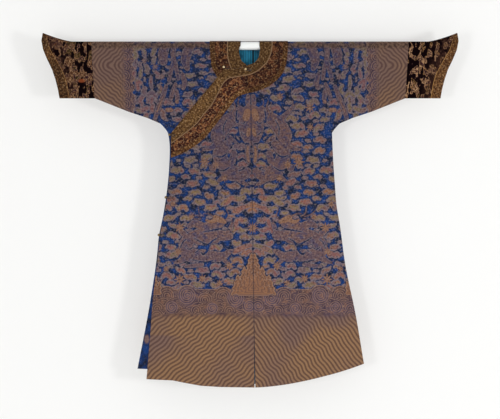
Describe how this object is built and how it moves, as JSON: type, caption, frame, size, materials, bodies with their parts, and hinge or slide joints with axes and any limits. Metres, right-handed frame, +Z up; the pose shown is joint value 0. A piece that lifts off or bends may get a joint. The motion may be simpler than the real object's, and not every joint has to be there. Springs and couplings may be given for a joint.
{
  "type": "semiformal court robe on a hanging rod",
  "caption": "Side-closing silk court robe with horse-hoof cuffs and dragon, cloud and wave pattern, hung flat on a round rod.",
  "frame": {"origin": "middle of the rod that holds the robe", "axes": "+X to the viewer's right along the rod, -Y out of the robe's front, +Z up"},
  "size_m": [1.6836, 0.083, 1.431],
  "materials": {
    "rod": "painted white, satin",
    "silk": "blue figured silk with gold-brown dragons, clouds and waves",
    "brocade": "gold-brown brocade",
    "piping": "pale gold cord",
    "band": "dark plum silk with gold figures",
    "edging": "narrow gold brocade",
    "gilt": "gilt, polished",
    "cord": "dark silk cord"
  },
  "bodies": {
    "root": {"rod": "rod", "left_half": "silk", "right_half": "silk", "front_overlap": "silk", "collar_brocade": "brocade", "collar_piping": "piping", "collar_band": "band", "collar_edging": "edging", "left_cuff": "band", "left_cuff_trim": "edging", "right_cuff": "band", "right_cuff_trim": "edging", "neck_button": "gilt", "neck_loop": "cord", "lapel_button": "gilt", "lapel_loop": "cord", "underarm_button": "gilt", "underarm_loop": "cord", "upper_side_button": "gilt", "upper_side_loop": "cord", "lower_side_button": "gilt", "lower_side_loop": "cord"}
  },
  "joints": []
}
